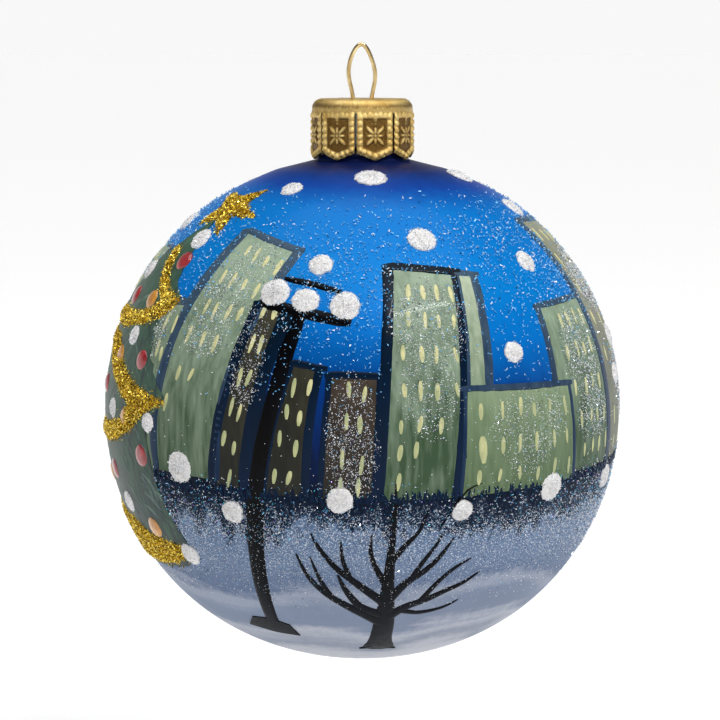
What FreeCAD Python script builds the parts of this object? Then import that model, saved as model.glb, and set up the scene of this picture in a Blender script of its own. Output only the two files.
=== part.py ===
# Hand-painted glass ball ornament with a crown cap and a spring-wire hanger.
#
# Millimetres, +Z up. The origin is the hanging point, inside the top of the hanger's eye.
# The painted side with the street lamp faces -Y, and +X is to its right.
# A place on the globe is (azimuth, elevation) in degrees from the globe's centre:
# azimuth 0 faces -Y and grows towards +X, elevation 90 is the neck.
import FreeCAD, Part
import math
import os

from FreeCAD import Vector

# Glass globe, blown by hand: a little flat under the neck and full below the equator.
GLOBE_RADIUS = 40.0
NECK_FLATTENING = 0.95
FOOT_FLATTENING = 0.75
HAUNCH_FULLNESS = 0.30
GLASS = 0.9
NECK_OUTER_RADIUS = 6.4
NECK_WALL = 0.7
NECK_TOP = 47.2
NECK_FILLET = 0.8
PROFILE_STEP = 10.0

# Crown cap, one pressing of thin sheet with eight pointed tabs.
SHEET = 0.3
CAP_RADIUS = 7.85
CAP_TOP = 47.7
CAP_SHOULDER = 1.5
TAB_COUNT = 8
TAB_TIP = 38.55
TAB_NOTCH = 39.75
FIRST_TAB_AZIMUTH = 15.0
SLIT_WIDTH = 0.35
SLIT_TOP = 45.6
PANEL_DEPTH = 0.1
PANEL_MARGIN = 0.7
ROSETTE_RADIUS = 1.2

# Hanger, one length of spring wire: an eye above the cap and two legs inside the neck.
WIRE = 0.65
WIRE_HOLE = 1.2
HOLE_OFFSET = 1.35
EYE_INSIDE_TOP = 7.95
LEG_LENGTH = 11.5
LEG_SPREAD = 4.7

# Raised decoration, glued or painted on thickly.
SNOW_HEIGHT = 0.55
BAUBLE_HEIGHT = 0.5
GLITTER_HEIGHT = 0.6
RAY_LENGTH = 60.0

CENTRE_Z = -(CAP_TOP + EYE_INSIDE_TOP)

# Snow dots: azimuth, elevation, radius. The last rows carry the pattern round the back.
SNOW_DOTS = [
    (5, 68.5, 2.4), (-35, 62.5, 1.7), (18, 46, 2.15), (-11, 39.5, 1.75),
    (50, 38.5, 1.8), (34.5, 19, 1.6), (76, 67, 2.2), (74, 53, 2.0), (-82, 47.5, 1.9),
    (-41, -5.5, 2.35), (-28, -13.5, 1.75), (-4.5, -9.5, 1.95), (21, -12.5, 1.6),
    (43.5, -10, 2.15), (68.5, -12, 1.9), (80, 17.5, 1.8), (76, 9.5, 1.7),
    (112, 58, 2.1), (136, 41, 1.8), (150, 66, 2.2), (172, 47, 1.9), (-156, 60, 2.0),
    (-138, 42, 1.7), (-116, 60, 2.1), (-104, 40, 1.8), (104, 30, 1.7), (128, 22, 1.6),
    (-150, 24, 1.8), (-122, 26, 1.6), (92, -7, 2.0), (113, -13, 1.7), (133, -8, 2.1),
    (157, -14, 1.8), (179, -7, 2.0), (-160, -13, 1.7), (-139, -8, 2.2), (-117, -13, 1.8),
]
# The globes of the street lamp in front and of its twin on the back.
LAMP_GLOBES = [
    (-21.5, 32.5, 2.25), (-13.5, 31, 2.0), (-4, 30, 2.2),
    (155, 32, 2.1), (163, 31.5, 2.0), (171, 30.5, 2.2),
]
RED_BAUBLES = [
    (-57, 38, 1.7), (-56.5, 15, 1.6), (-54, -5, 1.75), (-75, 27.5, 1.7), (-78, 7, 1.6),
    (-72, -11, 1.7),
]
AMBER_BAUBLES = [
    (-62, 28, 1.6), (-69, 14.5, 1.6), (-61.5, 2, 1.5), (-55, -21.5, 1.8), (-83, -14, 1.7),
]
WHITE_BAUBLES = [
    (-57, 44, 2.0), (-76, 34, 1.8), (-63.5, 19.5, 1.6), (-69, 3, 1.6), (-51, 2.5, 1.5),
    (-66, -17.5, 1.8), (-44, -26, 1.9),
]
# The tree's star: centre, then angle and length of each arm in its own plane.
STAR_CENTRE = (-57, 54)
STAR_ARMS = [(-5, 7.4), (62, 5.9), (148, 7.0), (218, 6.0), (300, 6.4)]
STAR_WAIST = 2.9
# One garland zigzags down the tree. Each section is an outline of azimuth, elevation.
GARLAND_TOP = [
    (-68, 41.5), (-63.5, 41), (-61, 36), (-57, 32), (-49, 29), (-53, 25), (-60, 22.5),
    (-72, 20.5), (-85, 20.5), (-85, 24.5), (-70, 24.5), (-60, 26), (-57.5, 28.5), (-62, 31.5),
    (-66, 36),
]
GARLAND_MIDDLE = [
    (-85, 19), (-73, 18.5), (-64, 12.5), (-56, 9.5), (-45.5, 7.5), (-52, 4.5), (-58, 0),
    (-66, -3.5), (-78, -5.5), (-85, -5), (-83, -1.5), (-72, -0.5), (-64, 1.5), (-60, 5),
    (-66, 7.5), (-73, 11), (-81, 16),
]
GARLAND_BOTTOM = [
    (-83, -20), (-66, -21.5), (-58, -23.5), (-46, -24), (-44.5, -26.5), (-50, -29.5),
    (-60, -31.5), (-72, -32.5), (-84, -31),
]


def centre():
    return Vector(0, 0, CENTRE_Z)


def globe_reach(elevation, height=0.0):
    """Distance from the globe's centre to its painted surface, plus a height above it."""
    sine = math.sin(math.radians(elevation))
    if elevation >= 0:
        return GLOBE_RADIUS - NECK_FLATTENING * sine ** 2 + height
    haunch = math.sin(math.radians(2 * elevation)) ** 2
    return GLOBE_RADIUS + HAUNCH_FULLNESS * haunch - FOOT_FLATTENING * sine ** 6 + height


def direction(azimuth, elevation):
    a = math.radians(azimuth)
    e = math.radians(elevation)
    return Vector(math.cos(e) * math.sin(a), -math.cos(e) * math.cos(a), math.sin(e))


def on_globe(azimuth, elevation, height=0.0):
    return centre() + direction(azimuth, elevation) * globe_reach(elevation, height)


def profile_point(elevation, height):
    """Point of the globe's outline in the XZ half plane."""
    e = math.radians(elevation)
    reach = globe_reach(elevation, height)
    return Vector(reach * math.cos(e), 0, CENTRE_Z + reach * math.sin(e))


def elevation_at_radius(radius, height):
    """Elevation, near the neck, where the outline comes in to this radius."""
    low = 45.0
    high = 89.0
    for _ in range(50):
        middle = (low + high) / 2
        if profile_point(middle, height).x > radius:
            low = middle
        else:
            high = middle
    return low


def globe_curve(top_radius, height=0.0):
    """Outline of the globe from its lowest point up to a radius beside the neck."""
    top = elevation_at_radius(top_radius, height)
    count = round((top + 90) / PROFILE_STEP)
    points = [profile_point(-90 + (top + 90) * i / count, height) for i in range(count + 1)]
    points[0].x = 0
    curve = Part.BSplineCurve()
    slope = (points[-1] - points[-2]).normalize()
    curve.interpolate(Points=points, InitialTangent=Vector(1, 0, 0), FinalTangent=slope)
    return curve


def line(a, b):
    return Part.LineSegment(a, b).toShape()


def arc(a, b, c):
    return Part.Arc(a, b, c).toShape()


def revolve(edges):
    face = Part.Face(Part.Wire(edges))
    return Part.Solid(face.revolve(Vector(), Vector(0, 0, 1), 360))


def globe_form(height=0.0):
    """The filled globe without its neck, grown by a height: a cutter for raised decoration."""
    curve = globe_curve(NECK_OUTER_RADIUS + NECK_FILLET, height)
    start = curve.StartPoint
    end = curve.EndPoint
    lid = Vector(0, 0, end.z)
    return revolve([curve.toShape(), line(end, lid), line(lid, start)])


def bend(a, b, sagitta):
    """Shallow arc between two points; the sagitta's sign picks the side."""
    chord = b - a
    normal = Vector(-chord.z, 0, chord.x).normalize()
    return arc(a, (a + b) * 0.5 + normal * sagitta, b)


def glass_globe():
    """Blown ball with a short tubular neck and a fire-polished lip."""
    bore = NECK_OUTER_RADIUS - NECK_WALL
    outer = globe_curve(NECK_OUTER_RADIUS + NECK_FILLET)
    inner = globe_curve(bore + NECK_FILLET / 2, -GLASS)
    lip = CENTRE_Z + NECK_TOP - NECK_WALL / 2
    foot_outer = Vector(NECK_OUTER_RADIUS, 0, outer.EndPoint.z + NECK_FILLET)
    foot_inner = Vector(bore, 0, inner.EndPoint.z + NECK_FILLET)
    lip_outer = Vector(NECK_OUTER_RADIUS, 0, lip)
    lip_inner = Vector(bore, 0, lip)
    crest = Vector(bore + NECK_WALL / 2, 0, lip + NECK_WALL / 2)
    return revolve([
        outer.toShape(),
        bend(outer.EndPoint, foot_outer, -NECK_FILLET * 0.2),
        line(foot_outer, lip_outer),
        arc(lip_outer, crest, lip_inner),
        line(lip_inner, foot_inner),
        bend(foot_inner, inner.EndPoint, NECK_FILLET * 0.1),
        inner.toShape(),
        line(inner.StartPoint, outer.StartPoint),
    ])


def turned(shape, azimuth):
    """Copy of a shape made at the azimuth 0 side, turned about the globe's axis."""
    copy = shape.copy()
    copy.rotate(Vector(), Vector(0, 0, 1), azimuth)
    return copy


def flat_prism(points, near, far):
    """Prism along Y from a list of (x, height above the globe's centre)."""
    corners = [Vector(x, -far, CENTRE_Z + z) for x, z in points]
    face = Part.Face(Part.makePolygon(corners + corners[:1]))
    return face.extrude(Vector(0, far - near, 0))


def tab_half_width():
    return CAP_RADIUS * math.sin(math.pi / TAB_COUNT)


def cap_shell():
    """Plain cup of the cap: flat top, rounded shoulder and straight skirt."""
    top = CENTRE_Z + CAP_TOP
    skirt = CENTRE_Z + TAB_TIP
    shoulder = CAP_RADIUS - CAP_SHOULDER
    inner_radius = CAP_RADIUS - SHEET
    inner_top = top - SHEET
    inner_bend = CAP_SHOULDER - SHEET
    diagonal = math.sqrt(0.5)
    outer_mid = Vector(shoulder + CAP_SHOULDER * diagonal, 0, top - CAP_SHOULDER * (1 - diagonal))
    inner_mid = Vector(shoulder + inner_bend * diagonal, 0, inner_top - inner_bend * (1 - diagonal))
    return revolve([
        line(Vector(0, 0, inner_top), Vector(0, 0, top)),
        line(Vector(0, 0, top), Vector(shoulder, 0, top)),
        arc(Vector(shoulder, 0, top), outer_mid, Vector(CAP_RADIUS, 0, top - CAP_SHOULDER)),
        line(Vector(CAP_RADIUS, 0, top - CAP_SHOULDER), Vector(CAP_RADIUS, 0, skirt)),
        line(Vector(CAP_RADIUS, 0, skirt), Vector(inner_radius, 0, skirt)),
        line(Vector(inner_radius, 0, skirt), Vector(inner_radius, 0, top - CAP_SHOULDER)),
        arc(Vector(inner_radius, 0, top - CAP_SHOULDER), inner_mid, Vector(shoulder, 0, inner_top)),
        line(Vector(shoulder, 0, inner_top), Vector(0, 0, inner_top)),
    ])


def tab_gap():
    """Slit and V notch between two tabs, at azimuth 0."""
    half = tab_half_width()
    slit = SLIT_WIDTH / 2
    below = TAB_TIP - 1
    slope = (TAB_NOTCH - TAB_TIP) / half
    notch_side = TAB_NOTCH - slope * slit
    outline = [
        (-slit, SLIT_TOP), (slit, SLIT_TOP), (slit, notch_side), (half, TAB_TIP),
        (half, below), (-half, below), (-half, TAB_TIP), (-slit, notch_side),
    ]
    return flat_prism(outline, CAP_RADIUS / 2, CAP_RADIUS * 2)


def tab_panel():
    """Shallow pointed recess of a tab with a round boss left standing, at azimuth 0."""
    side = tab_half_width() - PANEL_MARGIN
    point = TAB_TIP + PANEL_MARGIN
    corner = TAB_NOTCH + PANEL_MARGIN * 0.8
    outline = [(-side, SLIT_TOP), (side, SLIT_TOP), (side, corner), (0, point), (-side, corner)]
    panel = flat_prism(outline, CAP_RADIUS / 2, CAP_RADIUS * 2)
    middle = CENTRE_Z + (SLIT_TOP + point) / 2
    boss = Part.makeCylinder(ROSETTE_RADIUS, CAP_RADIUS * 2, Vector(0, 0, middle), Vector(0, -1, 0))
    floor = Part.makeCylinder(CAP_RADIUS - PANEL_DEPTH, CAP_TOP, centre())
    return panel.cut(boss).cut(floor)


def crown_cap():
    cap = cap_shell()
    pitch = 360 / TAB_COUNT
    cutters = []
    for i in range(TAB_COUNT):
        azimuth = FIRST_TAB_AZIMUTH + pitch * i
        cutters.append(turned(tab_panel(), azimuth))
        cutters.append(turned(tab_gap(), azimuth + pitch / 2))
    for side in (-1, 1):
        place = Vector(side * HOLE_OFFSET, 0, CENTRE_Z + CAP_TOP - 1)
        cutters.append(Part.makeCylinder(WIRE_HOLE / 2, 2, place))
    return cap.cut(cutters)


def rounded_path(corners):
    """Wire in the XZ plane through straight runs joined by tangent arcs.

    Each corner is (x, height above the cap's top, bend radius); the ends have no bend.
    """
    points = [Vector(x, 0, CENTRE_Z + CAP_TOP + z) for x, z, _ in corners]
    edges = []
    last = points[0]
    for i in range(1, len(points) - 1):
        into = (points[i] - points[i - 1]).normalize()
        out = (points[i + 1] - points[i]).normalize()
        turn = into.getAngle(out)
        radius = corners[i][2]
        cut = radius * math.tan(turn / 2)
        start = points[i] - into * cut
        end = points[i] + out * cut
        inward = (out - into).normalize()
        middle = points[i] + inward * (radius / math.cos(turn / 2) - radius)
        edges.append(line(last, start))
        edges.append(arc(start, middle, end))
        last = end
    edges.append(line(last, points[-1]))
    return Part.Wire(edges)


def hanger_wire():
    """Eye bent by hand, a little fuller on its left, and two legs that spring apart."""
    crown = EYE_INSIDE_TOP + WIRE / 2
    plate_middle = -SHEET / 2
    path = rounded_path([
        (-LEG_SPREAD, -LEG_LENGTH, 0),
        (-HOLE_OFFSET, plate_middle, 1.2),
        (-2.5, 2.6, 3.2),
        (-2.1, 7.1, 3.2),
        (-0.15, crown + 0.45, 0.8),
        (1.75, 4.4, 2.0),
        (1.85, 1.6, 1.4),
        (HOLE_OFFSET - 0.1, plate_middle, 1.2),
        (LEG_SPREAD, -LEG_LENGTH, 0),
    ])
    start = path.Vertexes[0].Point
    heading = path.Edges[0].tangentAt(path.Edges[0].FirstParameter)
    section = Part.Wire(Part.makeCircle(WIRE / 2, start, heading))
    return path.makePipeShell([section], True, False).Solids[0]


def dome(azimuth, elevation, radius, height, form):
    """Low round drop standing on the glass."""
    sphere_radius = (radius ** 2 + height ** 2) / (2 * height)
    outward = direction(azimuth, elevation)
    middle = on_globe(azimuth, elevation, height - sphere_radius)
    return Part.makeSphere(sphere_radius, middle, outward).cut(form).Solids[0]


def domes(dots, height, form):
    return [dome(azimuth, elevation, radius, height, form) for azimuth, elevation, radius in dots]


def raised_patch(rays, form, grown_form):
    """Layer of even height on the glass, whose edge follows a ring of rays from the centre."""
    middle = Vector()
    for ray in rays:
        middle += ray
    middle.normalize()
    corners = [centre() + ray * (RAY_LENGTH / ray.dot(middle)) for ray in rays]
    ring = corners + corners[:1]
    faces = [Part.Face(Part.makePolygon(ring))]
    for a, b in zip(ring, ring[1:]):
        faces.append(Part.Face(Part.makePolygon([centre(), a, b, centre()])))
    pyramid = Part.Solid(Part.Shell(faces))
    return pyramid.common(grown_form).cut(form)


def star_rays():
    """Rays to the tips and waists of the star on the plane that touches the globe there."""
    azimuth, elevation = STAR_CENTRE
    outward = direction(azimuth, elevation)
    east = direction(azimuth + 90, 0)
    north = outward.cross(east)
    rays = []
    for i, (angle, length) in enumerate(STAR_ARMS):
        following = STAR_ARMS[(i + 1) % len(STAR_ARMS)][0]
        gap = (following - angle) % 360
        for turn, reach in ((angle, length), (angle + gap / 2, STAR_WAIST)):
            t = math.radians(turn)
            offset = east * (reach * math.cos(t)) + north * (reach * math.sin(t))
            rays.append((outward * GLOBE_RADIUS + offset).normalize())
    return rays


def outline_rays(outline):
    return [direction(azimuth, elevation) for azimuth, elevation in outline]


def build():
    form = globe_form()
    glitter_form = globe_form(GLITTER_HEIGHT)
    red = domes(RED_BAUBLES, BAUBLE_HEIGHT, form)
    amber = domes(AMBER_BAUBLES, BAUBLE_HEIGHT, form)
    white = domes(WHITE_BAUBLES, BAUBLE_HEIGHT, form)
    glitter = {
        "tree_star": star_rays(),
        "garland_top": outline_rays(GARLAND_TOP),
        "garland_middle": outline_rays(GARLAND_MIDDLE),
        "garland_bottom": outline_rays(GARLAND_BOTTOM),
    }
    nodes = {
        "glass_globe": [glass_globe()],
        "crown_cap": crown_cap().Solids,
        "hanger_wire": [hanger_wire()],
        "snow_dots": domes(SNOW_DOTS, SNOW_HEIGHT, form),
        "lamp_globes": domes(LAMP_GLOBES, SNOW_HEIGHT, form),
        "red_baubles": red,
        "amber_baubles": amber,
        "white_baubles": white,
    }
    for name, rays in glitter.items():
        layer = raised_patch(rays, form, glitter_form)
        nodes[name] = layer.cut(red + amber + white).Solids
    return nodes


def main():
    os.makedirs("parts", exist_ok=True)
    for name, solids in build().items():
        shape = solids[0] if len(solids) == 1 else Part.makeCompound(solids)
        shape.exportStep(f"parts/{name}.step")
        print(f"{name}: {len(solids)} solid(s), {shape.Volume:.2f} mm3, valid {shape.isValid()}")


main()
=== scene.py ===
"""Looks of a glass ball Christmas ornament: lacquer, a painted winter town, glitter and a gilt cap.

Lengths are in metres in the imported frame. A place on the globe is (azimuth, elevation) in degrees seen
from its centre: azimuth 0 faces -Y and grows towards +X, elevation 90 is the neck. Widths of brush
strokes are degrees of arc on the globe, and heights above the glass are millimetres.
"""
import math

import bmesh
import bpy
import numpy as np
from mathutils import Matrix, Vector, geometry


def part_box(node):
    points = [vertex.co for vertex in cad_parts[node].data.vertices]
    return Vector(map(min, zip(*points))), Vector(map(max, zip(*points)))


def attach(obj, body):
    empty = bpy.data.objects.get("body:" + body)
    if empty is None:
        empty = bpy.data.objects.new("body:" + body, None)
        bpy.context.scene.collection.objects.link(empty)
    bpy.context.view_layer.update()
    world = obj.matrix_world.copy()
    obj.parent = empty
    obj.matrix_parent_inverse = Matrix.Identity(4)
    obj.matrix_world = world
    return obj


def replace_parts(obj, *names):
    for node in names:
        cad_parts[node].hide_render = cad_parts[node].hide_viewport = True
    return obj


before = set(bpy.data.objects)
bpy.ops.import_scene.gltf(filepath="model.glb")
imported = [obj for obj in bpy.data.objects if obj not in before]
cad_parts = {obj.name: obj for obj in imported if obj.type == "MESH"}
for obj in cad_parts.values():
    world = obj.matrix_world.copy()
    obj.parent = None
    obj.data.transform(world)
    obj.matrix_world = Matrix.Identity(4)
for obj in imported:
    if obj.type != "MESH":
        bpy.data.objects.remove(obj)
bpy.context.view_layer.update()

MM = 0.001

# ---------------------------------------------------------------- the globe's surface
GLOBE_LOW, GLOBE_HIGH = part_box("glass_globe")
RADIUS = (GLOBE_HIGH.x - GLOBE_LOW.x) / 2
NECK_FLATTENING = 0.02375 * RADIUS
FOOT_FLATTENING = 0.01875 * RADIUS
HAUNCH_FULLNESS = 0.0075 * RADIUS
CENTRE = Vector((0, 0, GLOBE_LOW.z + RADIUS - FOOT_FLATTENING))
NECK_RADIUS = 0.164 * RADIUS
# Height above the centre where the lacquer ends on the neck.
BARE_NECK = 1.012 * RADIUS


def outward(azimuth, elevation):
    """Unit vectors from the globe's centre."""
    a = np.radians(azimuth)
    e = np.radians(elevation)
    return np.stack([np.cos(e) * np.sin(a), -np.cos(e) * np.cos(a), np.sin(e)], -1)


def on_globe(azimuth, elevation, height=0.0):
    """Points at a height over the glass."""
    azimuth, elevation, height = np.broadcast_arrays(
        *(np.asarray(v, float) for v in (azimuth, elevation, height)))
    sine = np.sin(np.radians(elevation))
    haunch = np.sin(np.radians(2 * elevation)) ** 2
    upper = RADIUS - NECK_FLATTENING * sine ** 2
    lower = RADIUS + HAUNCH_FULLNESS * haunch - FOOT_FLATTENING * sine ** 6
    reach = np.where(elevation >= 0, upper, lower) + height * MM
    return np.array(CENTRE) + outward(azimuth, elevation) * reach[..., None]


# ---------------------------------------------------------------- building pieces
class Piece:
    """Vertices and faces of one Blender piece while it is put together."""

    def __init__(self):
        self.points = []
        self.faces = []
        self.tones = []

    def add(self, points, faces, tone=0):
        base = len(self.points)
        self.points.extend(tuple(p) for p in points)
        self.faces.extend(tuple(base + i for i in face) for face in faces)
        tones = tone if hasattr(tone, "__len__") else [tone] * len(faces)
        self.tones.extend(tones)

    def make(self, name, materials, body="globe", crease=35):
        mesh = bpy.data.meshes.new(name)
        mesh.from_pydata(self.points, [], self.faces)
        mesh.polygons.foreach_set("material_index", np.array(self.tones, np.int32))
        shell = bmesh.new()
        shell.from_mesh(mesh)
        bmesh.ops.recalc_face_normals(shell, faces=shell.faces)
        shell.to_mesh(mesh)
        shell.free()
        mesh.shade_smooth()
        mesh.set_sharp_from_angle(angle=math.radians(crease))
        for material in materials:
            mesh.materials.append(material)
        piece = bpy.data.objects.new(name, mesh)
        bpy.context.scene.collection.objects.link(piece)
        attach(piece, body)
        return piece


# The underside of every film of paint lies this far inside the glass.
SUNK = -0.02
THINNEST_STROKE = 0.06


def smooth_path(points, step):
    """Catmull-Rom line through (azimuth, elevation, width) rows, sampled about every step degrees."""
    rows = np.array(points, float)
    rows = np.vstack([2 * rows[0] - rows[1], rows, 2 * rows[-1] - rows[-2]])
    out = []
    for a, b, c, d in zip(rows, rows[1:], rows[2:], rows[3:]):
        count = max(2, int(np.hypot(*(c - b)[:2]) / step))
        t = np.arange(count)[:, None] / count
        out.append(0.5 * (2 * b + (c - a) * t + (2 * a - 5 * b + 4 * c - d) * t ** 2
                          + (3 * b - a - 3 * c + d) * t ** 3))
    out.append(rows[-2:-1])
    return np.vstack(out)


def tube_faces(rows, ring):
    """Faces of a closed tube whose points come in rows of ring points each."""
    faces = []
    for base in range(0, (rows - 1) * ring, ring):
        for j in range(ring):
            k = (j + 1) % ring
            faces.append((base + j, base + k, base + ring + k, base + ring + j))
    return [*faces, tuple(range(ring)), tuple(range((rows - 1) * ring, rows * ring))]


# A stroke's section: place across its width, share of its height.
SECTION = np.array([(-1, 0), (-0.82, 0.7), (-0.4, 1), (0.4, 1), (0.82, 0.7), (1, 0)])


def stroke(piece, points, top, tone=0, step=1.2):
    """Brush stroke: a closed ribbon with rounded edges through (azimuth, elevation, width) rows."""
    rows = smooth_path(points, step)
    azimuth, elevation = rows[:, 0], rows[:, 1]
    width = np.maximum(rows[:, 2], THINNEST_STROKE)
    narrowing = np.cos(np.radians(elevation))
    along = np.gradient(azimuth) * narrowing, np.gradient(elevation)
    length = np.hypot(*along)
    across = -along[1] / length / narrowing, along[0] / length
    ring = len(SECTION)
    sides = SECTION[:, 0][None] * width[:, None] / 2
    height = SUNK + (top - SUNK) * SECTION[:, 1][None] * np.minimum(1, width / 0.5)[:, None]
    points = on_globe(azimuth[:, None] + across[0][:, None] * sides,
                      elevation[:, None] + across[1][:, None] * sides, height)
    piece.add(points.reshape(-1, 3), tube_faces(len(rows), ring), tone)


def inside(outline, azimuth, elevation):
    """Which of the places lie inside a closed outline."""
    hit = np.zeros(np.shape(azimuth), bool)
    for (a0, e0), (a1, e1) in zip(outline, np.roll(outline, -1, 0)):
        if e0 == e1:
            continue
        spans = (elevation < e0) != (elevation < e1)
        hit = hit ^ (spans & (azimuth < a0 + (elevation - e0) * (a1 - a0) / (e1 - e0)))
    return hit


def fill(piece, outline, top, tone=0, grid=2.0, wobble=0.0, rng=None):
    """Area of paint: a closed film inside an outline of (azimuth, elevation), bent to the globe."""
    outline = np.array(outline, float)
    ring = []
    for a, b in zip(outline, np.roll(outline, -1, 0)):
        count = max(1, math.ceil(np.hypot(*(b - a)) / grid))
        ring.extend(a + (b - a) * i / count for i in range(count))
    ring = np.array(ring)
    if wobble:
        ring += rng.normal(0, wobble, ring.shape)
    low, high = ring.min(0), ring.max(0)
    columns, rows = np.meshgrid(np.arange(low[0], high[0], grid), np.arange(low[1], high[1], grid))
    keep = inside(ring, columns, rows)
    spots = [*map(Vector, ring), *(Vector(p) for p in zip(columns[keep], rows[keep]))]
    flat, _, faces, *_ = geometry.delaunay_2d_cdt(spots, [], [list(range(len(ring)))], 1, 1e-5)
    flat = np.array([tuple(p) for p in flat])
    edges = {}
    for face in faces:
        for a, b in zip(face, face[1:] + face[:1]):
            edges[a, b] = True
    rim = [(a, b) for a, b in edges if (b, a) not in edges]
    count = len(flat)
    points = np.vstack([on_globe(flat[:, 0], flat[:, 1], top), on_globe(flat[:, 0], flat[:, 1], SUNK)])
    under = [tuple(count + i for i in reversed(face)) for face in faces]
    walls = [(b, a, count + a, count + b) for a, b in rim]
    piece.add(points, [*map(tuple, faces), *under, *walls], tone)


def random_turns(count, rng):
    """Random rotation matrices."""
    x, y, z, w = rng.normal(size=(4, count))
    norm = np.sqrt(x * x + y * y + z * z + w * w)
    x, y, z, w = x / norm, y / norm, z / norm, w / norm
    return np.stack([
        np.stack([1 - 2 * (y * y + z * z), 2 * (x * y - z * w), 2 * (x * z + y * w)], -1),
        np.stack([2 * (x * y + z * w), 1 - 2 * (x * x + z * z), 2 * (y * z - x * w)], -1),
        np.stack([2 * (x * z - y * w), 2 * (y * z + x * w), 1 - 2 * (x * x + y * y)], -1),
    ], -2)


# A chip's corners for a size of 1, and its four faces.
CHIP = np.array([(1.3, 0, 0), (-0.5, 0.6, 0), (-0.9, -0.45, 0), (0.1, 0.1, 0.45)])
CHIP_FACES = np.array([(0, 2, 1), (0, 1, 3), (1, 2, 3), (2, 0, 3)])


def chips(piece, places, sizes, tones, rng):
    """Tiny tumbled chips of glitter or frost, each a closed sliver with four faces."""
    count = len(places)
    corners = CHIP[None] * (np.asarray(sizes) * MM)[:, None, None]
    turned = np.einsum("nij,nkj->nki", random_turns(count, rng), corners)
    points = (turned + places[:, None]).reshape(-1, 3)
    faces = (CHIP_FACES[None] + 4 * np.arange(count)[:, None, None]).reshape(-1, 3)
    piece.add(points, faces, np.repeat(tones, 4).tolist())


# ---------------------------------------------------------------- materials
def srgb(red, green, blue):
    """Linear colour from 0-255 display values."""
    shares = [c / 255 for c in (red, green, blue)]
    return (*(s / 12.92 if s <= 0.04045 else ((s + 0.055) / 1.055) ** 2.4 for s in shares), 1.0)


class Surface:
    """One procedural material and the few node kinds it is built from."""

    def __init__(self, name, **settings):
        self.material = bpy.data.materials.new(name)
        self.material.use_nodes = True
        self.tree = self.material.node_tree
        self.shader = self.tree.nodes["Principled BSDF"]
        for key, value in settings.items():
            self.shader.inputs[key.replace("_", " ")].default_value = value

    def node(self, kind, **inputs):
        made = self.tree.nodes.new(kind)
        for key, value in inputs.items():
            self.feed(made.inputs[key.replace("_", " ")], value)
        return made

    def feed(self, socket, value):
        if isinstance(value, bpy.types.NodeSocket):
            self.tree.links.new(value, socket)
        else:
            socket.default_value = value

    def put(self, name, value):
        self.feed(self.shader.inputs[name], value)

    def place(self):
        """Place in the piece's own frame, measured from the globe's centre."""
        coords = self.node("ShaderNodeTexCoord").outputs["Object"]
        shift = self.node("ShaderNodeVectorMath")
        shift.operation = "SUBTRACT"
        self.feed(shift.inputs[0], coords)
        shift.inputs[1].default_value = CENTRE
        return shift.outputs[0]

    def within_axis(self, place, outer, inner):
        """1 within an inner distance from the vertical axis, falling to 0 at an outer one."""
        flat = self.stretched(place, 1, 1, 0)
        distance = self.node("ShaderNodeVectorMath")
        distance.operation = "LENGTH"
        self.feed(distance.inputs[0], flat)
        return self.spread(distance.outputs["Value"], outer, inner)

    def maths(self, operation, first, second=0.0):
        made = self.node("ShaderNodeMath")
        made.operation = operation
        self.feed(made.inputs[0], first)
        self.feed(made.inputs[1], second)
        return made.outputs[0]

    def stretched(self, vector, x, y, z):
        made = self.node("ShaderNodeMapping", Vector=vector)
        made.inputs["Scale"].default_value = (x, y, z)
        return made.outputs[0]

    def noise(self, vector, size, detail=3.0, roughness=0.55):
        """Noise whose features are about size millimetres across, from 0 to 1."""
        made = self.node("ShaderNodeTexNoise", Vector=vector)
        made.inputs["Scale"].default_value = 1 / (size * MM)
        made.inputs["Detail"].default_value = detail
        made.inputs["Roughness"].default_value = roughness
        return made.outputs["Fac"]

    def spread(self, value, low, high, to_low=0.0, to_high=1.0):
        made = self.node("ShaderNodeMapRange", Value=value)
        made.inputs["From Min"].default_value = low
        made.inputs["From Max"].default_value = high
        made.inputs["To Min"].default_value = to_low
        made.inputs["To Max"].default_value = to_high
        return made.outputs[0]

    def blend(self, share, first, second):
        made = self.node("ShaderNodeMix")
        made.data_type = "RGBA"
        self.feed(made.inputs[0], share)
        self.feed(made.inputs[6], first)
        self.feed(made.inputs[7], second)
        return made.outputs[2]

    def ramp(self, value, stops):
        made = self.node("ShaderNodeValToRGB", Fac=value)
        band = made.color_ramp.elements
        while len(band) < len(stops):
            band.new(0.5)
        for element, (position, colour) in zip(band, stops):
            element.position = position
            element.color = colour
        return made.outputs[0]

    def bump(self, height, depth):
        """Relief of about depth millimetres."""
        made = self.node("ShaderNodeBump", Height=height)
        made.inputs["Distance"].default_value = depth * MM
        self.put("Normal", made.outputs[0])

    def elevation(self, place):
        """Elevation on the globe as a share from 0 at the foot to 1 at the neck."""
        unit = self.node("ShaderNodeVectorMath")
        unit.operation = "NORMALIZE"
        self.feed(unit.inputs[0], place)
        height = self.node("ShaderNodeSeparateXYZ", Vector=unit.outputs[0]).outputs["Z"]
        angle = self.maths("ARCSINE", height)
        return self.spread(angle, -math.pi / 2, math.pi / 2)


def level(elevation):
    """The share that Surface.elevation gives at an elevation in degrees."""
    return (elevation + 90) / 180


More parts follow.
